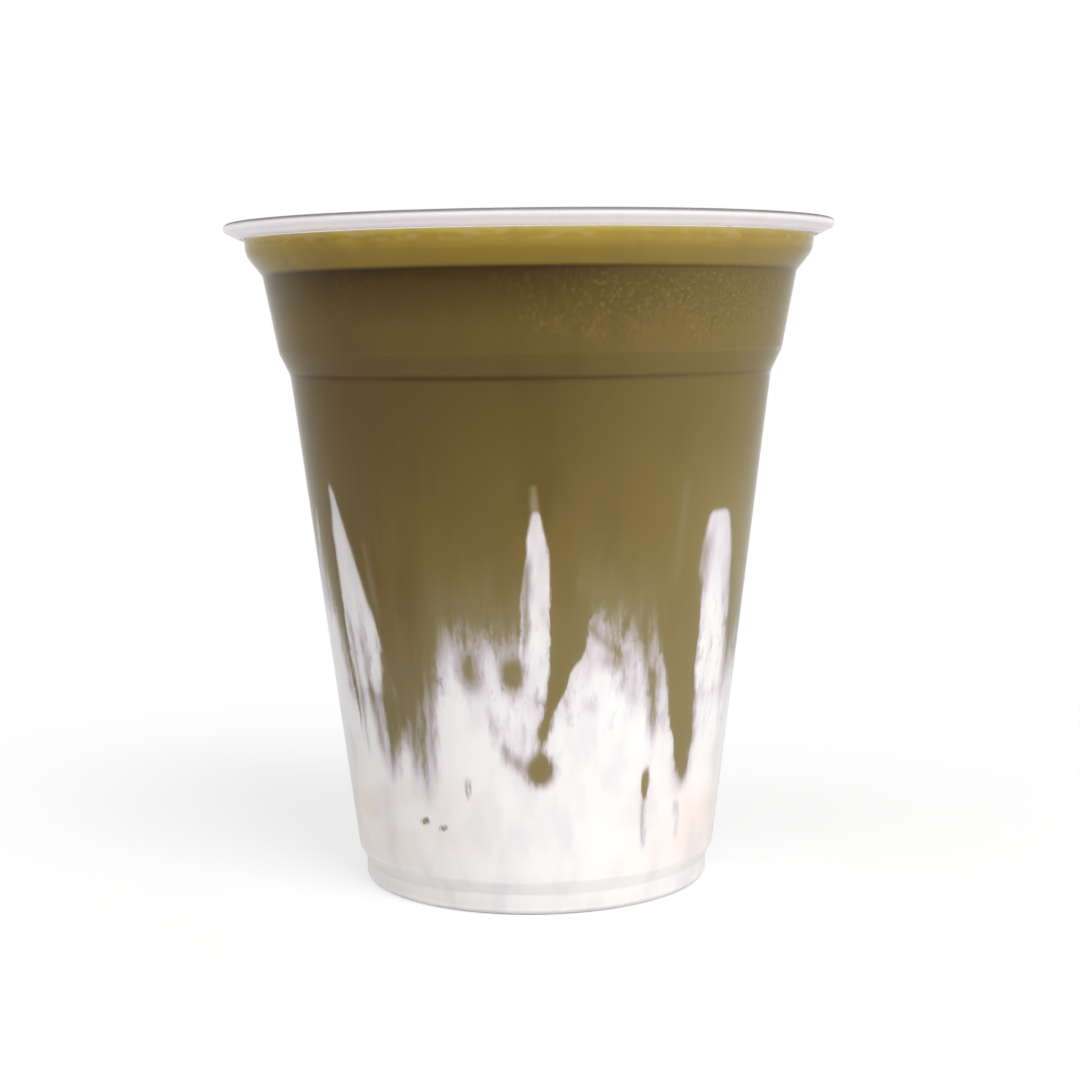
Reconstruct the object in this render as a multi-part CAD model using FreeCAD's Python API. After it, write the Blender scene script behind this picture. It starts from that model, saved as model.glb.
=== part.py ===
"""Iced hojicha latte in a clear, thin-walled plastic cup: cup shell, milk below, roasted-tea latte above.

Millimetres. +Z is up along the cup's axis and the origin is the centre of the ring that the cup stands on.
Angles of the swirl are degrees about +Z, 0 at the front (-Y) and growing towards +X.
"""
import FreeCAD, Part
import math
import os

from FreeCAD import Vector

# Cup: overall sizes
cup_height = 106.6
rim_radius = 49.0
foot_radius = 28.2
wall = 0.5

# Foot ring and the raised floor inside it
foot_height = 3.4
foot_land = 2.6
floor_rise = 3.2
floor_dome = 0.8
floor_flat_radius = 8.0
floor_draft = 1.4
foot_step = 1.15
foot_step_height = 2.2

# Bands under the rim, each measured from the one above it
rim_width = 3.25
rim_height = 2.6
snap_band_height = 2.2
snap_band_draft = 0.25
snap_step = 2.5
snap_step_height = 3.2
stack_band_height = 12.3
stack_band_draft = 2.33
shoulder_step = 1.73
shoulder_height = 3.6

# Rolled rim
crest_radius = 1.0
tip_radius = 0.45
tuck_angle = 26.0
tuck_clearance = 0.35

# Corner radii along the middle of the wall
dome_corner = 40.0
floor_corner = 1.0
foot_corner = 0.75
foot_step_corner = 0.8
shoulder_bottom_corner = 3.0
shoulder_top_corner = 2.0
groove_corner = 0.4
snap_bottom_corner = 3.0
snap_top_corner = 3.0

# Drink
head_space = 2.4
meniscus_rise = 0.5
meniscus_run = 2.2
meniscus_corner = 4.0
milk_level = 42.0
calm_power = 3.0
swirl_spokes = 144
swirl_rings = 9
swirl_crowding = 0.7
swirl_margin = 4.0

# Ends of outlines closer than this are one point
same_point = 1e-6

# Where milk licks up (+) or tea hangs down (-) along the wall: angle, reach in mm, half-width in degrees
swirl_tongues = [
    (-57.0, 22.0, 7.0),
    (-37.0, -13.0, 8.0),
    (-1.0, 23.0, 5.0),
    (9.0, -18.0, 6.0),
    (26.0, 7.0, 8.0),
    (46.0, -20.0, 6.0),
    (57.0, 19.0, 6.0),
    (84.0, -11.0, 9.0),
    (112.0, 17.0, 7.0),
    (133.0, -14.0, 8.0),
    (158.0, 9.0, 8.0),
    (176.0, -17.0, 7.0),
    (-163.0, 20.0, 6.0),
    (-140.0, -12.0, 8.0),
    (-112.0, 15.0, 8.0),
    (-88.0, -14.0, 8.0),
]

# Heights of the stations, from the rim down and from the foot up
half_wall = wall / 2
rim_base = cup_height - rim_height
snap_bottom = rim_base - snap_band_height
stack_top = snap_bottom - snap_step_height
stack_bottom = stack_top - stack_band_height
body_top = stack_bottom - shoulder_height
body_bottom = foot_height + foot_step_height
crest_height = cup_height - half_wall - crest_radius
drink_level = cup_height - head_space

# Radii of the outer face at those stations
rim_base_radius = rim_radius - rim_width
snap_radius = rim_base_radius - snap_band_draft
stack_top_radius = snap_radius - snap_step
stack_bottom_radius = stack_top_radius - stack_band_draft
body_top_radius = stack_bottom_radius - shoulder_step
body_bottom_radius = foot_radius + foot_step
swirl_radius = (body_top_radius + body_bottom_radius) / 2


def at(radius, height):
    """A point of the section, which lies in the XZ plane."""
    return Vector(radius, 0, height)


def rounded(corners):
    """Edges of an open path through (point, corner radius), each inner corner a tangent arc."""
    edges = []
    start = corners[0][0]
    for (before, _), (corner, radius), (after, _) in zip(corners, corners[1:], corners[2:]):
        back = (before - corner).normalize()
        ahead = (after - corner).normalize()
        half = back.getAngle(ahead) / 2
        reach = radius / math.tan(half)
        middle = corner + (back + ahead).normalize() * (radius / math.sin(half) - radius)
        arc_start = corner + back * reach
        arc_end = corner + ahead * reach
        edges.append(Part.makeLine(start, arc_start))
        edges.append(Part.Arc(arc_start, middle, arc_end).toShape())
        start = arc_end
    edges.append(Part.makeLine(start, corners[-1][0]))
    return edges


def wall_corners():
    """Corners of the middle of the wall, from the floor's centre to the foot of the rolled rim."""
    inner_foot = foot_radius - foot_land
    return [
        (at(0, floor_rise + floor_dome), 0),
        (at(floor_flat_radius, floor_rise + floor_dome), dome_corner),
        (at(inner_foot - floor_draft, floor_rise), floor_corner),
        (at(inner_foot, half_wall), foot_corner),
        (at(foot_radius - half_wall, half_wall), foot_corner),
        (at(foot_radius - half_wall, foot_height), foot_step_corner),
        (at(body_bottom_radius - half_wall, body_bottom), foot_step_corner),
        (at(body_top_radius - half_wall, body_top), shoulder_bottom_corner),
        (at(stack_bottom_radius - half_wall, stack_bottom), shoulder_top_corner),
        (at(stack_top_radius - half_wall, stack_top), groove_corner),
        (at(snap_radius - half_wall, snap_bottom), snap_bottom_corner),
        (at(rim_base_radius - half_wall, rim_base), snap_top_corner),
        (at(rim_base_radius - half_wall, crest_height), 0),
    ]


def rim_edges():
    """The roll: over the crest, across the flat top, round the tip and back in under it."""
    crest = at(rim_base_radius - half_wall + crest_radius, crest_height)
    tip = at(rim_radius - half_wall - tip_radius, cup_height - half_wall - tip_radius)
    turn = math.radians(90 - tuck_angle)
    tuck_start = tip + at(math.cos(turn), -math.sin(turn)) * tip_radius
    tuck_end_radius = rim_base_radius + half_wall + tuck_clearance
    run = tuck_start.x - tuck_end_radius
    tuck_end = tuck_start + at(-run, -run * math.tan(math.radians(tuck_angle)))
    crest_start = crest - at(crest_radius, 0)
    crest_end = crest + at(0, crest_radius)
    tip_start = tip + at(0, tip_radius)
    slant = math.sqrt(0.5)
    return [
        Part.Arc(crest_start, crest + at(-slant, slant) * crest_radius, crest_end).toShape(),
        Part.makeLine(crest_end, tip_start),
        Part.Arc(tip_start, tip + at(slant, slant) * tip_radius, tuck_start).toShape(),
        Part.makeLine(tuck_start, tuck_end),
    ]


def turned(face):
    """The solid that a half-section sweeps round the cup's axis."""
    solid = face.revolve(Vector(0, 0, 0), Vector(0, 0, 1), 360)
    return solid.Solids[0]


def closed_face(*wires):
    """The face bounded by these wires, joined end to end by straight edges."""
    edges = []
    for wire, following in zip(wires, wires[1:] + wires[:1]):
        edges += wire.OrderedEdges
        end = wire.OrderedVertexes[-1].Point
        start = following.OrderedVertexes[0].Point
        if end.distanceToPoint(start) > same_point:
            edges.append(Part.makeLine(end, start))
    return Part.Face(Part.Wire(edges))


def back_along(wire):
    """The same open wire, run from its end to its start."""
    return Part.Wire([edge.reversed() for edge in reversed(wire.OrderedEdges)])


def make_cup():
    """One formed sheet: raised floor, foot ring, tapered body, bands and rolled rim."""
    middle = Part.Wire(rounded(wall_corners()) + rim_edges())
    outer = middle.makeOffset2D(-half_wall, openResult=True)
    inner = middle.makeOffset2D(half_wall, openResult=True)
    return turned(closed_face(outer, back_along(inner)))


def make_bore():
    """The space inside the cup, up to the crest of its rim."""
    middle = Part.Wire(rounded(wall_corners()))
    inner = middle.makeOffset2D(half_wall, openResult=True)
    top = inner.OrderedVertexes[-1].Point.z
    bottom = inner.OrderedVertexes[0].Point.z
    axis = Part.Wire([Part.makeLine(at(0, top), at(0, bottom))])
    return turned(closed_face(inner, axis))


def make_drink(bore):
    """Everything in the cup up to the drink's level, which creeps up the wall at its edge."""
    wall_radius = rim_base_radius - wall
    low = drink_level - meniscus_rise
    climb = meniscus_rise / meniscus_run
    surface = Part.Wire(rounded([
        (at(0, low), 0),
        (at(wall_radius - meniscus_run, low), meniscus_corner),
        (at(rim_radius, drink_level + climb * (rim_radius - wall_radius)), 0),
    ]))
    below = Part.Wire([Part.makeLine(at(rim_radius, 0), at(0, 0))])
    return bore.common(turned(closed_face(surface, below)))


def swirl_height(x, y):
    """Height of the boundary between milk and tea: calm in the middle, tongued at the wall."""
    angle = math.degrees(math.atan2(x, -y))
    at_wall = min(1.0, math.hypot(x, y) / swirl_radius) ** calm_power
    height = milk_level
    for centre, reach, half_width in swirl_tongues:
        off = (angle - centre + 180) % 360 - 180
        height += at_wall * reach * math.exp(-((off / half_width) ** 2))
    return height


def facet(*corners):
    """A flat face with these corners."""
    return Part.Face(Part.makePolygon([*corners, corners[0]]))


def make_milk_side():
    """A block whose top is the boundary, larger all round than the cup's body."""
    outside = rim_radius + swirl_margin
    turns = [2 * math.pi * i / swirl_spokes for i in range(swirl_spokes)]
    rings = []
    for k in range(1, swirl_rings + 1):
        radius = outside * (k / swirl_rings) ** swirl_crowding
        spots = [(radius * math.sin(turn), -radius * math.cos(turn)) for turn in turns]
        rings.append([Vector(x, y, swirl_height(x, y)) for x, y in spots])
    base = [Vector(p.x, p.y, -swirl_margin) for p in rings[-1]]
    centre = Vector(0, 0, swirl_height(0, 0))
    faces = [facet(*base)]
    for i in range(swirl_spokes):
        j = (i + 1) % swirl_spokes
        faces.append(facet(centre, rings[0][i], rings[0][j]))
        faces.append(facet(rings[-1][i], base[i], base[j], rings[-1][j]))
        for inner, outer in zip(rings, rings[1:]):
            faces.append(facet(inner[i], outer[i], outer[j]))
            faces.append(facet(inner[i], outer[j], inner[j]))
    return Part.Solid(Part.makeShell(faces))


def main():
    """Builds the three pieces and writes one STEP file for each."""
    os.makedirs("parts", exist_ok=True)
    drink = make_drink(make_bore())
    milk_side = make_milk_side()
    pieces = {
        "cup": make_cup(),
        "milk_layer": drink.common(milk_side).Solids[0],
        "tea_layer": drink.cut(milk_side).Solids[0],
    }
    for name, solid in pieces.items():
        solid.exportStep(f"parts/{name}.step")
        print(name, solid.ShapeType, solid.isValid(), round(solid.Volume / 1000, 2), "cm3")


main()
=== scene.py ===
"""Looks of an iced hojicha latte: clear cup, marbled tea over milk, a thin froth, a white studio.

The row frame is metres, +Z up; the front of the drink faces -Y.
Angles round the cup are degrees from the front, growing towards +X, and heights are millimetres.
"""

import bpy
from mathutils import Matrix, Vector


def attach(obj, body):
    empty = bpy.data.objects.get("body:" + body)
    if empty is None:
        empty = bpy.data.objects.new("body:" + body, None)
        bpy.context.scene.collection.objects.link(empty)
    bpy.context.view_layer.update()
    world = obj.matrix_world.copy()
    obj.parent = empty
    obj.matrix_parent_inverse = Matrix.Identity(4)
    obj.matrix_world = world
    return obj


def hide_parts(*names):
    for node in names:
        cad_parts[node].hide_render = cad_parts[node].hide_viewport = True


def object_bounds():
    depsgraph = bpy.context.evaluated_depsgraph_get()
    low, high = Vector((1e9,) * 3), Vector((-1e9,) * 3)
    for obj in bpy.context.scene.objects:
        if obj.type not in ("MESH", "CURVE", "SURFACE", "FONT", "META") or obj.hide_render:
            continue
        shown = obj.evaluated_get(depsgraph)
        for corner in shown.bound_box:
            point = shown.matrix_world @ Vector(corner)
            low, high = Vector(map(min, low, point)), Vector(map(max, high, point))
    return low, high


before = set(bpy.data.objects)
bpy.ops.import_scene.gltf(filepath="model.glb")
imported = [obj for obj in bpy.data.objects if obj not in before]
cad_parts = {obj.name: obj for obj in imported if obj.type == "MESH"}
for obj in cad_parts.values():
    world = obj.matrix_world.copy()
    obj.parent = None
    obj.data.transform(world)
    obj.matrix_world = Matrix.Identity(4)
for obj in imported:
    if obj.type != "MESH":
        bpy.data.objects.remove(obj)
cad_box = [list(corner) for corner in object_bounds()]

import math
import random

import bmesh
import bpy
from mathutils import Matrix, Vector

MM = 0.001
CUP_LOW, CUP_HIGH = (Vector(corner) for corner in cad_box)
CUP_HEIGHT = CUP_HIGH.z - CUP_LOW.z


def bend(start, corner, end, between):
    """Stations of (height, radius) round a corner of the outline, with some between its start and end."""
    stations = []
    for step in range(between + 2):
        share = step / (between + 1)
        pulls = (1 - share) ** 2, 2 * share * (1 - share), share ** 2
        stations.append(tuple(
            sum(pull * value for pull, value in zip(pulls, values)) for values in zip(start, corner, end)
        ))
    return stations


# The drink's outline, as (height, radius) in mm, each a hair inside the wall so that no air shows
FLOOR = [(4.20, 7.0), (3.90, 12.6), (3.68, 16.3), (3.30, 23.6), (3.00, 24.2), (2.60, 24.45), (1.60, 25.0)]
FOOT = [
    (0.80, 25.4), (0.42, 25.9), (0.40, 27.3), (0.80, 27.75), (1.00, 27.82), (3.30, 27.82), (3.70, 27.95),
    (5.60, 28.93), (5.75, 28.98),
]
BODY = [(68.0, 36.73)] + bend((82.2, 38.50), (82.82, 38.576), (83.3, 38.80), 2)
STACK_BAND = bend((86.17, 40.20), (86.37, 40.297), (86.60, 40.34), 2) + [(98.55, 42.61), (98.70, 42.65)]
SNAP_BAND = [
    (98.83, 42.73), *bend((101.29, 44.65), (101.91, 45.13), (102.67, 45.22), 3),
    (103.86, 45.35), (104.19, 45.37),
]
RIM_BASE = 104.4
RIM_EDGE_HEIGHT = (105.95, 106.4)
RIM_EDGE_RADIUS = (47.6, 48.3)
SURFACE_LEVEL = 103.7
MENISCUS_RISE = 0.5
MENISCUS_RUN = 2.2
BUBBLES = 420
BUBBLE_SEED = 11
BUBBLE_RADIUS = (0.25, 0.85)
BUBBLE_BRIM = 45.2
BUBBLE_SPREAD = 3.0
BUBBLE_FLATNESS = 0.7
COLUMNS = 288
MILK_ROWS = 24
TEA_ROWS = 12
SHEET_RINGS = 10
SURFACE_RINGS = 60
SHARP_EDGE = 50
LEVEL_FACE = 0.9

# Where the two layers meet along the wall: level, and tongues of (angle, reach, half-width in degrees)
MEETING_LEVEL = 42.0
MEETING_TONGUES = [
    (-57.0, 22.0, 7.0),
    (-37.0, -13.0, 8.0),
    (-1.0, 23.0, 5.0),
    (9.0, -18.0, 6.0),
    (26.0, 7.0, 8.0),
    (46.0, -20.0, 6.0),
    (57.0, 19.0, 6.0),
    (84.0, -11.0, 9.0),
    (112.0, 17.0, 7.0),
    (133.0, -14.0, 8.0),
    (158.0, 9.0, 8.0),
    (176.0, -17.0, 7.0),
    (-163.0, 20.0, 6.0),
    (-140.0, -12.0, 8.0),
    (-112.0, 15.0, 8.0),
    (-88.0, -14.0, 8.0),
]

# Studio
CAMERA_RIGHT = 0.0012
CAMERA_DISTANCE = 0.32736
CAMERA_BELOW_RIM = 0.015376
CAMERA_PITCH = 6.3
CAMERA_ROLL = -0.65
LENS = 66.67
PLASTIC_IOR = 1.5
AMBIENT = 0.71
FLOOR_HALF = 3.0
FLOOR_GLOW = 0.19
FLOOR_FADE = (75, 190)  # mm from the axis
LAMPS = [
    ("key", (0.8, -1.0, 0.6), 1.0, 7.8),
    ("fill", (-1.1, -0.7, 0.5), 1.0, 2.5),
]


def linear(*srgb):
    """A colour written as 0-255 screen values, as the linear colour that a shader takes."""
    levels = [value / 255 for value in srgb]
    return tuple(v / 12.92 if v <= 0.04045 else ((v + 0.055) / 1.055) ** 2.4 for v in levels) + (1.0,)


# Colours
TEA = linear(118, 98, 50)
TEA_DEEP = linear(96, 74, 38)
TEA_ROASTED = linear(122, 90, 50)
TEA_GOLD = linear(180, 154, 74)
# Painted light: the pale tea is the lit colour of the right side and of the left edge's painted
# reflection; the olive serves the mixing and also the painted light at the right edge.
TEA_PAINTED_LIGHT = linear(176, 158, 100)
OLIVE_MIX_AND_PAINTED_LIGHT = linear(156, 144, 104)
MIX_LILAC = linear(220, 211, 218)
MILK = linear(251, 249, 248)
MILK_CREAM = linear(250, 240, 234)
FROTH = linear(176, 152, 88)
FROTH_PALE = linear(206, 186, 130)
RIM_HAZE = linear(255, 250, 252)
# Painted shade: a dark line along the crest of the rolled rim.
RIM_CREST_PAINTED_SHADE = linear(126, 120, 128)

# The tea's colour up the wall: (height, colour). Painted shade: a thin dark line at 82.8 mm under the
# lower step, and a darkening from 90 to 98.8 mm under the snap band.
TEA_AND_PAINTED_SHADE_BY_HEIGHT = [
    (40.0, linear(142, 123, 74)),
    (58.0, linear(136, 115, 62)),
    (75.0, linear(120, 99, 50)),
    (82.3, linear(114, 93, 46)),
    (82.8, linear(80, 60, 28)),
    (83.4, linear(122, 101, 52)),
    (90.0, linear(120, 98, 48)),
    (95.5, linear(96, 74, 28)),
    (98.4, linear(74, 52, 14)),
    (98.8, linear(62, 42, 8)),
    (99.3, linear(168, 140, 58)),
    (101.9, linear(174, 146, 60)),
    (103.2, linear(180, 154, 64)),
    (103.7, linear(200, 176, 78)),
    (104.2, linear(222, 204, 126)),
]


class Value:
    """A number that varies over a surface. Arithmetic on it adds Math nodes."""

    def __init__(self, finish, socket):
        self.finish = finish
        self.socket = socket

    def math(self, operation, *others):
        numbered = dict(enumerate((self, *others)))
        return self.finish.node("ShaderNodeMath", {"operation": operation}, numbered)

    def __add__(self, other):
        return self.math("ADD", other)

    __radd__ = __add__

    def __mul__(self, other):
        return self.math("MULTIPLY", other)

    __rmul__ = __mul__

    def __sub__(self, other):
        return self.math("SUBTRACT", other)

    def __rsub__(self, other):
        return self * -1 + other

    def __truediv__(self, other):
        return self.math("DIVIDE", other)

    def __pow__(self, other):
        return self.math("POWER", other)

    def __abs__(self):
        return self.math("ABSOLUTE")

    def most(self, other):
        return self.math("MAXIMUM", other)

    def rise(self, low, high):
        """0 below low, 1 above high, smooth between."""
        settings = {"interpolation_type": "SMOOTHSTEP"}
        return self.finish.node("ShaderNodeMapRange", settings, {0: self, 1: low, 2: high})


class Finish:
    """The nodes of a material, or of the studio's world, with one way to add any node."""

    def __init__(self, owner):
        owner.use_nodes = True
        self.owner = owner
        self.tree = owner.node_tree
        self.tree.nodes.clear()

    def node(self, kind, settings=None, inputs=None, output=0):
        """Adds a node, sets it, feeds its sockets and gives one of its outputs.

        A ramp's stops are a setting too.
        """
        node = self.tree.nodes.new(kind)
        for name, value in (settings or {}).items():
            if name == "stops":
                self.place_stops(node.color_ramp.elements, value)
            else:
                setattr(node, name, value)
        for name, value in (inputs or {}).items():
            if isinstance(value, Value):
                self.tree.links.new(value.socket, node.inputs[name])
            else:
                node.inputs[name].default_value = value
        return Value(self, node.outputs[output]) if node.outputs else None

    def place_stops(self, elements, stops):
        """Fills a ramp with stops of (place, colour)."""
        while len(elements) < len(stops):
            elements.new(0.5)
        for element, (place, colour) in zip(elements, stops):
            element.position = place
            element.color = colour

    def blend(self, share, first, second):
        """Colour first where share is 0 and second where it is 1."""
        settings = {"data_type": "RGBA", "clamp_factor": True}
        return self.node("ShaderNodeMix", settings, {0: share, 6: first, 7: second}, output=2)

    def ramp(self, value, stops):
        """A colour read off stops of (place, colour)."""
        return self.node("ShaderNodeValToRGB", {"stops": stops}, {0: value})

    def finish(self, shader, kind="Material"):
        """Shows the shader on the surface, and gives the material or world back."""
        self.node(f"ShaderNodeOutput{kind}", None, {"Surface": shader})
        return self.owner


def new_finish(name):
    """An empty material to build up."""
    return Finish(bpy.data.materials.new(name))


class Wall:
    """Places on the drink's side: angle from the front, height, and noise that follows the cup round."""

    def __init__(self, finish):
        self.finish = finish
        metres = finish.node("ShaderNodeTexCoord", output="Object")
        scaled = {0: metres, "Scale": 1 / MM}
        self.place = finish.node("ShaderNodeVectorMath", {"operation": "SCALE"}, scaled)
        self.right, depth, self.height = (
            finish.node("ShaderNodeSeparateXYZ", None, {0: self.place}, axis) for axis in "XYZ"
        )
        self.angle = self.right.math("ARCTAN2", depth * -1) * math.degrees(1)
        self.radius = (self.right * self.right + depth * depth).math("SQRT")

    def noise(self, across, along, detail=2.0, roughness=0.5, seed=0.0, distortion=0.0):
        """Noise from -1 to 1 whose features are about across mm wide and along mm tall."""
        shifted = self.finish.node("ShaderNodeVectorMath", {"operation": "MULTIPLY_ADD"}, {
            0: self.place, 1: (1 / across, 1 / across, 1 / along), 2: (seed, seed, seed),
        })
        return self.finish.node("ShaderNodeTexNoise", {"noise_dimensions": "3D"}, {
            "Vector": shifted, "Scale": 1.0, "Detail": detail, "Roughness": roughness,
            "Distortion": distortion,
        }) * 2 - 1

    def across(self, centre):
        """Millimetres round the wall from an angle, which may vary with height."""
        turn = (self.angle - centre).math("WRAP", 180.0, -180.0)
        return turn * self.radius * math.radians(1)

    def upward(self, low, high):
        """0 at height low, 1 at height high, straight between."""
        return self.finish.node("ShaderNodeMapRange", None, {0: self.height, 1: low, 2: high})


def lick(wall, wander, root, tip, width, blunt, fullness, soft, strength, whole=0.94):
    """A flame of milk or a tongue of tea: as wide as its half-width at the root, and narrowing to its tip.

    root and tip are (angle, height). A larger blunt and a smaller fullness keep its width for longer.
    soft is how far its edge fades, in mm. It fades out along its length from the share that is whole.
    """
    share = wall.upward(root[1], tip[1])
    axis = share * (tip[0] - root[0]) + root[0]
    half = (1 - share ** blunt) ** fullness * width
    off = abs(wall.across(axis) + wander)
    body = (half - off).rise(-soft, soft)
    return body * share.rise(0.0, 0.18) * (1 - share.rise(whole, 1.0)) * strength


def droplet(wall, wander, place, half_width, half_height, soft, strength):
    """A rounded spot at (angle, height). soft is how far its edge fades, as a share of its size."""
    across = (wall.across(place[0]) + wander) / half_width
    up = (wall.height - place[1] + wander) / half_height
    return (1 - (across * across + up * up).math("SQRT").rise(1 - soft, 1 + soft)) * strength


# The milk's skyline round the cup: (angle, height), the same height at both ends
SKYLINE = [
    (-180, 42), (-158, 50), (-146, 40), (-136, 34), (-124, 47), (-110, 49), (-98, 40),
    (-88, 46), (-78, 56), (-70, 57), (-62, 42), (-50, 41), (-43, 36), (-38, 36), (-32, 39), (-27, 43),
    (-22, 46), (-14, 48), (-5, 46), (3, 42), (9, 44), (11, 48.5), (16, 49), (27, 48),
    (34, 45), (42, 40), (50, 42), (64, 43), (80, 42), (112, 50), (133, 34), (180, 42),
]
SKYLINE_TOP = 100.0
SKYLINE_FADE = (-16.0, 13.0)

# Flames of milk in the tea: root, tip, half-width at the root, bluntness, fullness, soft edge, strength
MILK_FLAMES = [
    ((-48.5, 29), (-58.6, 67.5), 7.0, 1, 0.8, 0.8, 1.0),
    ((-79, 38), (-70, 63), 4.6, 1, 0.7, 1.2, 0.8),
    ((-42.3, 42), (-46.6, 58.5), 0.7, 1, 0.3, 1.0, 0.4),
    ((1.5, 30), (0.9, 64.5), 3.8, 1.3, 0.6, 0.4, 1.0),
    ((1.2, 57), (0.5, 67.5), 1.0, 1, 0.3, 0.6, 0.5),
    ((58.5, 28), (53.1, 63.2), 5.8, 4, 0.4, 1.2, 1.0),
    ((37.5, 44), (40, 68), 1.1, 1, 0.3, 1.6, 0.42),
    ((112, 30), (116, 66), 4.8, 1, 0.6, 1.0, 1.0),
    ((158, 27), (154, 58), 3.8, 1, 0.7, 0.8, 1.0),
    ((-160, 30), (-164, 64), 4.4, 1, 0.7, 0.8, 1.0),
    ((-112, 30), (-108, 62), 4.8, 3, 0.5, 1.0, 1.0),
]

# Tongues and threads of tea in the milk, the same way, root above
TEA_TONGUES = [
    ((-42.5, 50), (-45.4, 16), 0.9, 1, 0.4, 0.9, 0.65),
    ((-40.5, 50), (-43.0, 19), 1.0, 1, 0.5, 1.2, 0.6),
    ((-37.5, 50), (-39.4, 24), 2.4, 1, 0.7, 2.2, 0.6),
    ((-33.5, 50), (-35.6, 17), 1.4, 1, 0.5, 1.4, 0.6),
    ((-30.5, 50), (-32.6, 14), 0.7, 1, 0.4, 0.9, 0.6),
    ((-27.5, 50), (-29.6, 18), 0.8, 1, 0.4, 1.2, 0.5),
    ((-62.4, 57), (-57.6, 23), 0.5, 1, 0.2, 0.6, 0.75),
    ((-57.5, 48), (-55.0, 20), 0.5, 1, 0.2, 0.9, 0.45),
    ((-53, 46), (-47, 19), 0.7, 1, 0.2, 1.2, 0.5),
    ((8.8, 58), (4.6, 31), 1.8, 1, 0.5, 0.4, 1.0),
    ((12.0, 49), (5.0, 32), 2.6, 1, 1.0, 0.4, 1.0),
    ((5.8, 41), (1.6, 26.0), 1.0, 1, 0.2, 0.8, 0.85),
    ((1.7, 32), (1.3, 20), 0.8, 1, 0.2, 0.9, 0.5),
    ((39.5, 54), (48.8, 16), 5.0, 1.2, 0.9, 0.7, 1.0),
    ((46.4, 36), (48, 16), 2.4, 1, 0.5, 1.8, 0.7),
    ((28, 48), (36.8, 26), 0.8, 1, 0.3, 1.6, 0.45),
    ((33, 40), (35, 24), 0.7, 1, 0.3, 1.2, 0.45),
    ((12.5, 47), (24, 40), 1.0, 1, 0.2, 1.6, 0.35),
    ((-1.2, 58), (-2.6, 37), 0.8, 1, 0.4, 0.9, 0.5),
    ((48.5, 60), (48.2, 36), 0.9, 1, 0.3, 1.8, 0.4),
    ((33.0, 18), (33.8, 8), 0.3, 1, 0.2, 0.8, 0.5),
    ((46.0, 17), (48.5, 8.5), 0.3, 1, 0.2, 0.9, 0.35),
    ((64, 60), (66, 26), 1.5, 1, 0.3, 2.2, 0.45),
    ((88, 48), (85, 26), 3.6, 1, 0.8, 1.2, 1.0),
    ((133, 44), (130, 22), 4.0, 1, 0.8, 1.2, 1.0),
    ((178, 50), (180, 24), 3.4, 1, 0.8, 1.2, 1.0),
    ((-140, 46), (-137, 24), 3.8, 1, 0.8, 1.2, 1.0),
    ((-87, 50), (-86, 28), 2.2, 1, 0.8, 1.4, 0.9),
]

# Loose drops of tea in the milk: place, half-width, half-height, softness, strength
TEA_DROPS = [
    ((1.3, 23.4), 2.2, 2.5, 0.6, 0.7),
    ((-17.2, 38.6), 1.5, 2.8, 0.9, 0.5),
    ((-5.4, 38.2), 1.7, 2.6, 0.7, 0.6),
    ((21, 40), 2.4, 1.6, 0.9, 0.3),
    ((27, 35), 1.6, 3.2, 0.9, 0.25),
    ((33.2, 20.0), 0.7, 2.3, 0.6, 0.85),
    ((9.8, 46.0), 2.5, 6.0, 0.15, 1.0),
    ((-34.2, 14.3), 0.7, 0.55, 0.6, 0.6),
    ((-27.5, 13.9), 0.6, 0.45, 0.6, 0.5),
    ((-20, 20), 0.45, 1.6, 0.7, 0.45),
    ((-7.6, 26.5), 0.7, 1.8, 0.9, 0.45),
    ((-5.0, 24.4), 0.9, 1.4, 0.9, 0.4),
    ((-10.5, 30), 0.7, 2.4, 0.9, 0.3),
    ((-120, 24), 1.8, 2.4, 0.4, 0.9),
    ((150, 22), 1.2, 3.4, 0.5, 0.8),
]


def milk_share(wall):
    """How much of the wall's place is milk, 0 to 1: skyline, then flames, tongues, drops and mottling.

    The second value is how far the tea there has paled, 1 at the skyline and 0 well above it.
    """
    stops = [((angle + 180) / 360, (height / SKYLINE_TOP,) * 3 + (1,)) for angle, height in SKYLINE]
    skyline = wall.finish.ramp(wall.angle / 360 + 0.5, stops) * SKYLINE_TOP
    streaks = wall.noise(3.2, 20, detail=3, roughness=0.6, seed=3.1) * 6.5
    hairs = wall.noise(0.9, 9, detail=3, roughness=0.6, seed=9.4) * 1.8
    depth = wall.height - skyline - streaks - hairs
    share = 1 - depth.rise(*SKYLINE_FADE)
    drift = wall.noise(6, 9, detail=3, roughness=0.55, seed=7.3)
    fringe = wall.noise(0.8, 5, detail=3, roughness=0.65, seed=1.9)
    for flame in MILK_FLAMES:
        share = share.most(lick(wall, drift * 0.6 + fringe * 0.5, *flame))
    for tongue in TEA_TONGUES:
        share = share * (1 - lick(wall, drift * 1.1 + fringe, *tongue, whole=0.7))
    for drop in TEA_DROPS:
        share = share * (1 - droplet(wall, drift * 0.9 + fringe, *drop))
    nearness = depth.rise(-26, -4) * (1 - depth.rise(0, 10))
    mottling = wall.noise(1.7, 6, detail=4, roughness=0.65, seed=6.2).rise(-0.05, 0.5)
    flecks = wall.noise(0.7, 1.8, detail=2, roughness=0.6, seed=15.3).rise(0.26, 0.6)
    clouds = wall.noise(5, 12, detail=2, seed=21.6).rise(-0.3, 0.5)
    thin = wall.height.rise(40, 58) * 0.14
    share = share * (1 - mottling * nearness * 0.38 - clouds * 0.15 - thin) * (1 - flecks * nearness * 0.3)
    return share, 1 - depth.rise(-4, 16)


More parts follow.
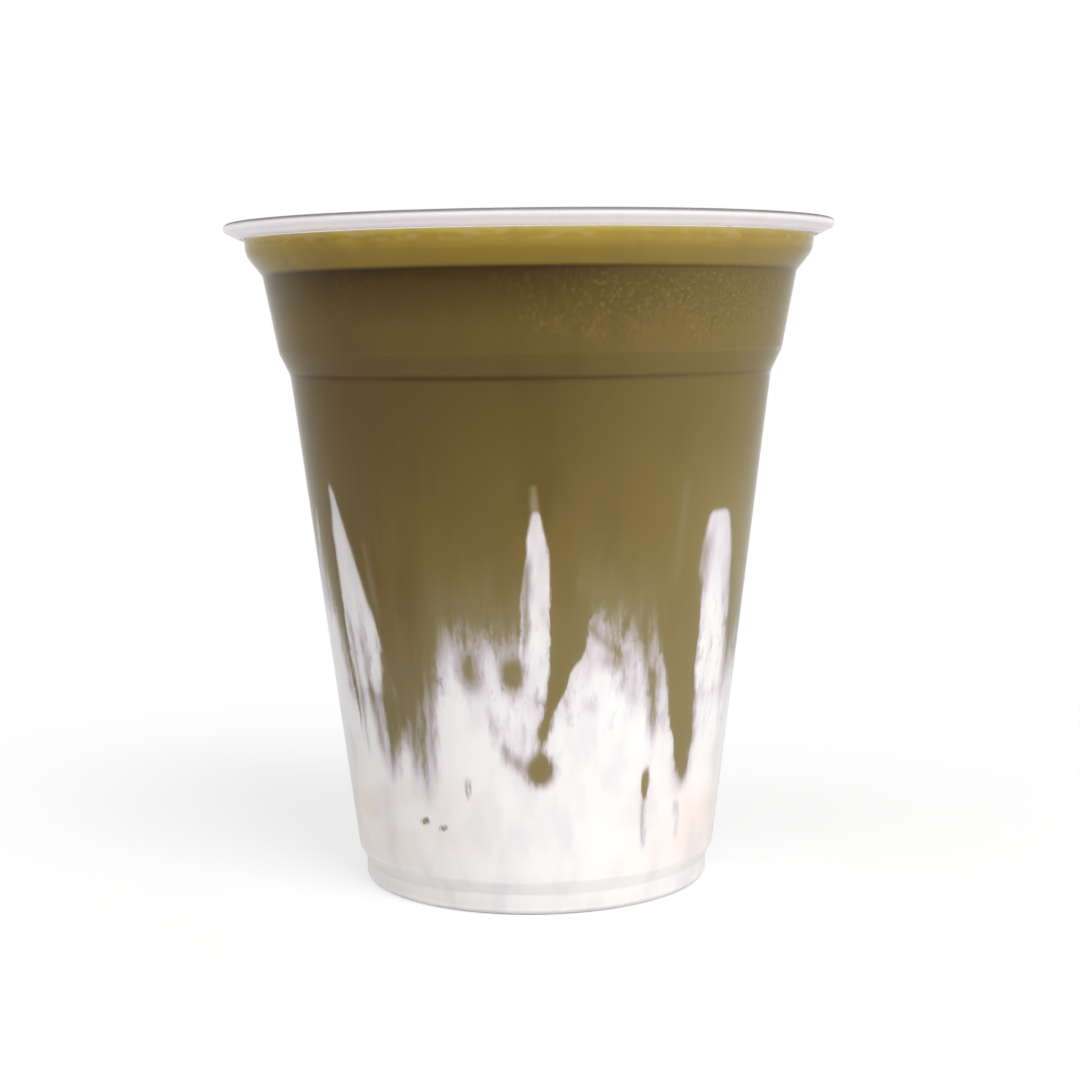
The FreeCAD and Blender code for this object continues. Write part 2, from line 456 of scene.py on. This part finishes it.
def tea_colour(wall):
    """Roasted tea with milk: painted shade in deep brown under the steps of the cup, mustard along the
    top, and finely speckled with gold in the band where the froth has settled. Painted light makes it
    paler towards the right, olive at the right edge, and paler along the left edge as a painted
    reflection."""
    finish = wall.finish
    (low, _), (high, _) = TEA_AND_PAINTED_SHADE_BY_HEIGHT[0], TEA_AND_PAINTED_SHADE_BY_HEIGHT[-1]
    stops = [((height - low) / (high - low), colour) for height, colour in TEA_AND_PAINTED_SHADE_BY_HEIGHT]
    uneven = wall.noise(8, 30, detail=4, roughness=0.6, seed=2.0)
    colour = finish.ramp(wall.upward(low, high), stops)
    colour = finish.blend(uneven.rise(-0.1, 0.5) * 0.3, colour, TEA_DEEP)
    roasted = wall.angle.rise(-56, -40) * (1 - wall.angle.rise(-36, -24)) * (1 - wall.height.rise(88, 98))
    strands = wall.noise(4, 40, detail=3, roughness=0.6, seed=19.0).rise(-0.5, 0.4)
    colour = finish.blend(roasted * strands * 0.5, colour, TEA_ROASTED)
    # Painted light: paler tea towards the lit right side, and a painted reflection along the left edge.
    painted_light_right = wall.right.rise(-4, 42)
    painted_reflection_left_edge = (wall.right * -1).rise(28, 44)
    # Painted light: the tea turns olive and paler at the right edge, fading out between 54 and 78 mm,
    # standing in for the lamp and the wall's reflection there.
    painted_light_right_edge = wall.right.rise(18, 34) * (1 - wall.height.rise(54, 78))
    colour = finish.blend(painted_light_right_edge * 0.85, colour, OLIVE_MIX_AND_PAINTED_LIGHT)
    colour = finish.blend(painted_light_right * 0.45 + painted_reflection_left_edge * 0.38, colour, TEA_PAINTED_LIGHT)
    band = wall.height.rise(84, 91) * (1 - wall.height.rise(96, 100))
    grains = band * (wall.right.rise(-15, 30) * 0.75 + 0.25)
    drifts = wall.noise(7, 5, detail=2, seed=23.0).rise(-0.4, 0.4)
    gold = wall.noise(0.6, 0.6, detail=4, roughness=0.75, seed=5.0).rise(-0.05, 0.35)
    dark = wall.noise(0.7, 0.7, detail=4, roughness=0.75, seed=8.0).rise(0.0, 0.35)
    colour = finish.blend(gold * grains * (drifts * 0.5 + 0.5) * 0.6, colour, TEA_GOLD)
    colour = finish.blend(dark * grains * 0.36, colour, TEA_DEEP)
    clots = wall.noise(3.0, 1.1, detail=2, seed=14.0).rise(-0.1, 0.3)
    return finish.blend(clots * wall.height.rise(102.0, 103.8) * 0.55, colour, FROTH_PALE)


def milk_colour(wall):
    """Milk, a touch creamier in patches near the foot."""
    patches = wall.noise(14, 8, detail=2, seed=12.0).rise(-0.3, 0.3)
    low = wall.height.rise(3, 9) * (1 - wall.height.rise(13, 27))
    creamy = patches * low * abs(wall.right).rise(4, 22)
    return wall.finish.blend(creamy, MILK, MILK_CREAM)


def side_finish():
    """The drink as seen through the wall: tea and milk with their marbled mixing edge."""
    finish = new_finish("marbled_latte")
    wall = Wall(finish)
    share, paled = milk_share(wall)
    # Olive near the skyline where the milk has paled the tea, with more of it towards the right as painted
    # light.
    tea = finish.blend(paled * (wall.right.rise(12, 34) * 0.25 + 0.4), tea_colour(wall), OLIVE_MIX_AND_PAINTED_LIGHT)
    olive = finish.blend(share.rise(0.0, 0.5), tea, OLIVE_MIX_AND_PAINTED_LIGHT)
    lilac = finish.blend(share.rise(0.3, 0.75), olive, MIX_LILAC)
    colour = finish.blend(share.rise(0.6, 1.0), lilac, milk_colour(wall))
    shader = finish.node("ShaderNodeBsdfPrincipled", None, {
        "Base Color": colour, "Roughness": 0.6, "Specular IOR Level": 0.0,
    })
    return finish.finish(shader)


def surface_finish():
    """The open top of the drink: wet tea with paler drifts of fine froth, thickest along the wall."""
    finish = new_finish("frothy_tea")
    wall = Wall(finish)
    drifts = wall.noise(16, 16, detail=5, roughness=0.6, seed=4.0, distortion=1.2)
    froth = (wall.radius + drifts * 40).rise(28, 48)
    inputs = {"Vector": wall.place, "Scale": 1.3}
    cells = finish.node("ShaderNodeTexVoronoi", {"feature": "DISTANCE_TO_EDGE"}, inputs)
    film = 1 - cells.rise(0.0, 0.16)
    colour = finish.blend(froth * 0.75, TEA, FROTH)
    colour = finish.blend(film * froth * 0.5, colour, FROTH_PALE)
    height = cells.rise(0.0, 0.3) * froth + drifts
    bump = finish.node("ShaderNodeBump", None, {"Strength": 0.35, "Distance": 0.3 * MM, "Height": height})
    shader = finish.node("ShaderNodeBsdfPrincipled", None, {
        "Base Color": colour, "Roughness": 0.28, "Normal": bump,
    })
    return finish.finish(shader)


def bubble_finish():
    """The skin of a tea bubble: pale tea, glossy."""
    finish = new_finish("tea_bubble")
    wall = Wall(finish)
    tone = wall.noise(3, 3, detail=2, seed=17.0).rise(-0.3, 0.3)
    shader = finish.node("ShaderNodeBsdfPrincipled", None, {
        "Base Color": finish.blend(tone, FROTH, FROTH_PALE), "Roughness": 0.2, "Coat Weight": 0.3,
    })
    return finish.finish(shader)


def cup_finish():
    """Clear formed plastic, cloudy where it is rolled at the rim, with a dark line of painted shade along
    the rim's crest. Lamps shine through it.
    """
    finish = new_finish("clear_plastic")
    wall = Wall(finish)
    rolled = wall.height.rise(RIM_BASE - 0.4, RIM_BASE + 0.4)
    frosting = rolled * 0.2 + 0.03
    clear = finish.node("ShaderNodeBsdfRefraction", None, {"Roughness": frosting, "IOR": PLASTIC_IOR})
    gloss = finish.node("ShaderNodeBsdfGlossy", None, {"Roughness": frosting})
    mirror = finish.node("ShaderNodeFresnel", None, {"IOR": PLASTIC_IOR}) ** 1.35
    shell = finish.node("ShaderNodeMixShader", None, {0: mirror, 1: clear, 2: gloss})
    # Painted shade: the dark line along the rim's crest.
    edge = wall.height.rise(*RIM_EDGE_HEIGHT) * wall.radius.rise(*RIM_EDGE_RADIUS)
    haze = finish.node("ShaderNodeBsdfPrincipled", None, {
        "Base Color": finish.blend(edge, RIM_HAZE, RIM_CREST_PAINTED_SHADE), "Roughness": 1.0, "Specular IOR Level": 0.0,
    })
    cloudy = finish.node("ShaderNodeMixShader", None, {0: rolled * 0.65, 1: shell, 2: haze})
    open_to_light = finish.node("ShaderNodeBsdfTransparent", None, {"Color": (0.97, 0.97, 0.97, 1)})
    shadow = finish.node("ShaderNodeLightPath", output="Is Shadow Ray")
    shader = finish.node("ShaderNodeMixShader", None, {0: shadow, 1: cloudy, 2: open_to_light})
    return finish.finish(shader)


def wall_radius(height):
    """The drink's radius at a height on the straight body wall."""
    (low, narrow), (high, wide) = FOOT[-1], BODY[0]
    return narrow + (wide - narrow) * (height - low) / (high - low)


def meeting_height(angle):
    """Where tea and milk part along the wall, angle in degrees."""
    height = MEETING_LEVEL
    for centre, reach, half_width in MEETING_TONGUES:
        off = (angle - centre + 180) % 360 - 180
        height += reach * math.exp(-((off / half_width) ** 2))
    return height


def level_ring(height, radius):
    """A ring of the drink's outline at one height."""
    return [(height, radius)] * COLUMNS


def rising_rings(low, high, count):
    """Rings up the wall between two lists of heights, one height a column, ends left out."""
    rings = []
    for step in range(1, count):
        heights = [a + (b - a) * step / count for a, b in zip(low, high)]
        rings.append([(height, wall_radius(height)) for height in heights])
    return rings


def lathe(name, low_centre, rings, high_centre):
    """A closed mesh from rings of (height, radius) per column, between two points on the axis, in mm."""
    turned = bmesh.new()
    rows = []
    for ring in rings:
        row = []
        for column, (height, radius) in enumerate(ring):
            turn = math.tau * column / COLUMNS
            place = Vector((radius * math.sin(turn), -radius * math.cos(turn), height))
            row.append(turned.verts.new(place * MM))
        rows.append(row)
    foot = turned.verts.new((0, 0, low_centre * MM))
    crown = turned.verts.new((0, 0, high_centre * MM))
    for column in range(COLUMNS):
        after = (column + 1) % COLUMNS
        turned.faces.new((foot, rows[0][after], rows[0][column]))
        turned.faces.new((crown, rows[-1][column], rows[-1][after]))
        for low, high in zip(rows, rows[1:]):
            turned.faces.new((low[column], low[after], high[after], high[column]))
    bmesh.ops.recalc_face_normals(turned, faces=turned.faces)
    mesh = bpy.data.meshes.new(name)
    turned.to_mesh(mesh)
    turned.free()
    for polygon in mesh.polygons:
        polygon.use_smooth = True
    mesh.set_sharp_from_angle(angle=math.radians(SHARP_EDGE))
    piece = bpy.data.objects.new(name, mesh)
    bpy.context.collection.objects.link(piece)
    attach(piece, "root")
    return piece


def meeting_sheet():
    """Rings of the sheet between tea and milk, from the axis out to the wall."""
    rings = []
    for step in range(1, SHEET_RINGS + 1):
        share = step / SHEET_RINGS
        ring = []
        for column in range(COLUMNS):
            edge = meeting_height(360 * column / COLUMNS)
            height = MEETING_LEVEL + (edge - MEETING_LEVEL) * share ** 3
            ring.append((height, wall_radius(edge) * share))
        rings.append(ring)
    return rings


def make_milk(side):
    """The milk that lies in the foot of the cup, up to where it meets the tea."""
    sheet = meeting_sheet()
    meeting = [height for height, radius in sheet[-1]]
    rings = [level_ring(*station) for station in FLOOR + FOOT]
    rings += rising_rings([FOOT[-1][0]] * COLUMNS, meeting, MILK_ROWS)
    milk = lathe("milk", FLOOR[0][0], rings + sheet[::-1], MEETING_LEVEL)
    milk.data.materials.append(side)
    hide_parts("milk_layer")


def surface_height(radius):
    """Height of the drink's surface, which climbs a little at the wall."""
    climb = max(0.0, 1 - (SNAP_BAND[-1][1] - radius) / MENISCUS_RUN)
    return SURFACE_LEVEL + MENISCUS_RISE * climb ** 2


def make_hojicha(side):
    """The tea above the milk, up to its wet surface, which climbs a little at the wall."""
    sheet = meeting_sheet()
    meeting = [height for height, radius in sheet[-1]]
    rings = sheet + rising_rings(meeting, [BODY[0][0]] * COLUMNS, TEA_ROWS)
    rings += [level_ring(*station) for station in BODY + STACK_BAND + SNAP_BAND]
    brim = SNAP_BAND[-1][1]
    for step in range(1, SURFACE_RINGS):
        radius = brim * (1 - step / SURFACE_RINGS)
        rings.append(level_ring(surface_height(radius), radius))
    hojicha = lathe("hojicha", MEETING_LEVEL, rings, SURFACE_LEVEL)
    hojicha.data.materials.append(side)
    hojicha.data.materials.append(surface_finish())
    for polygon in hojicha.data.polygons:
        if polygon.normal.z > LEVEL_FACE and polygon.center.z > (SURFACE_LEVEL - MENISCUS_RISE) * MM:
            polygon.material_index = 1
    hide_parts("tea_layer")


def make_bubbles():
    """Small bubbles of froth that float on the drink, most of them along the wall."""
    dice = random.Random(BUBBLE_SEED)
    spread = bmesh.new()
    for _ in range(BUBBLES):
        size = dice.uniform(*BUBBLE_RADIUS) * dice.uniform(0.5, 1.0)
        radius = BUBBLE_BRIM - size - abs(dice.gauss(0, BUBBLE_SPREAD))
        turn = dice.uniform(0, math.tau)
        place = Vector((radius * math.sin(turn), -radius * math.cos(turn), surface_height(radius)))
        shape = Matrix.Translation(place * MM) @ Matrix.Diagonal((1, 1, BUBBLE_FLATNESS, 1))
        bmesh.ops.create_icosphere(spread, subdivisions=2, radius=size * MM, matrix=shape)
    mesh = bpy.data.meshes.new("bubbles")
    spread.to_mesh(mesh)
    spread.free()
    for polygon in mesh.polygons:
        polygon.use_smooth = True
    mesh.materials.append(bubble_finish())
    bubbles = bpy.data.objects.new("bubbles", mesh)
    bpy.context.collection.objects.link(bubbles)
    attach(bubbles, "root")


def dress_cup():
    """Gives the cup its clear plastic."""
    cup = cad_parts["cup"]
    cup.data.materials.clear()
    cup.data.materials.append(cup_finish())


def seen_rays(finish):
    """1 for what the eye sees, straight or by way of gloss or clear plastic."""
    kinds = ("Is Camera Ray", "Is Glossy Ray", "Is Transmission Ray")
    straight, gloss, clear = (finish.node("ShaderNodeLightPath", output=kind) for kind in kinds)
    return straight.most(gloss).most(clear)


def lay_floor():
    """A wide white floor. It keeps the cup's soft shadow near the cup, and is plain white further off."""
    half = FLOOR_HALF
    corners = [(-half, -half, 0), (half, -half, 0), (half, half, 0), (-half, half, 0)]
    mesh = bpy.data.meshes.new("floor")
    mesh.from_pydata(corners, [], [(0, 1, 2, 3)])
    floor = bpy.data.objects.new("floor", mesh)
    bpy.context.collection.objects.link(floor)
    finish = new_finish("white_floor")
    paint = finish.node("ShaderNodeBsdfDiffuse", None, {"Color": linear(252, 252, 252)})
    glow = finish.node("ShaderNodeEmission", None, {"Color": (1, 1, 1, 1), "Strength": FLOOR_GLOW})
    near = finish.node("ShaderNodeAddShader", None, {0: paint, 1: glow})
    white = finish.node("ShaderNodeEmission", None, {"Color": (1, 1, 1, 1), "Strength": 1.0})
    away = Wall(finish).radius.rise(*FLOOR_FADE)
    seen = finish.node("ShaderNodeMixShader", None, {0: away, 1: near, 2: white})
    shader = finish.node("ShaderNodeMixShader", None, {0: seen_rays(finish), 1: paint, 2: seen})
    mesh.materials.append(finish.finish(shader))


def light_studio():
    """White all round for the eye, a plain level for the cup, and a broad soft lamp from the right."""
    finish = Finish(bpy.data.worlds.new("studio"))
    plain = finish.node("ShaderNodeBackground", None, {"Color": (1, 1, 1, 1), "Strength": AMBIENT})
    white = finish.node("ShaderNodeBackground", None, {"Color": (1, 1, 1, 1), "Strength": 1.0})
    shader = finish.node("ShaderNodeMixShader", None, {0: seen_rays(finish), 1: plain, 2: white})
    bpy.context.scene.world = finish.finish(shader, "World")
    for name, place, size, power in LAMPS:
        lamp = bpy.data.lights.new(name, "AREA")
        lamp.size = size
        lamp.energy = power
        holder = bpy.data.objects.new(name, lamp)
        holder.location = place
        aim = Vector((0, 0, CUP_HEIGHT / 2)) - holder.location
        holder.rotation_euler = aim.to_track_quat("-Z", "Y").to_euler()
        bpy.context.collection.objects.link(holder)


def place_camera():
    """The camera stands in front at three cup heights, a little under the rim, looking slightly down."""
    lens = bpy.data.cameras.new("camera")
    lens.sensor_width = 36
    lens.lens = LENS
    camera = bpy.data.objects.new("camera", lens)
    stand = Matrix.Translation((CAMERA_RIGHT, -CAMERA_DISTANCE, CUP_HEIGHT - CAMERA_BELOW_RIM))
    pitch = Matrix.Rotation(math.radians(90 - CAMERA_PITCH), 4, "X")
    roll = Matrix.Rotation(math.radians(CAMERA_ROLL), 4, "Z")
    camera.matrix_world = stand @ pitch @ roll
    bpy.context.collection.objects.link(camera)
    bpy.context.scene.camera = camera


side = side_finish()
make_milk(side)
make_hojicha(side)
make_bubbles()
dress_cup()
lay_floor()
light_studio()
place_camera()
bpy.context.scene.view_settings.view_transform = "Standard"
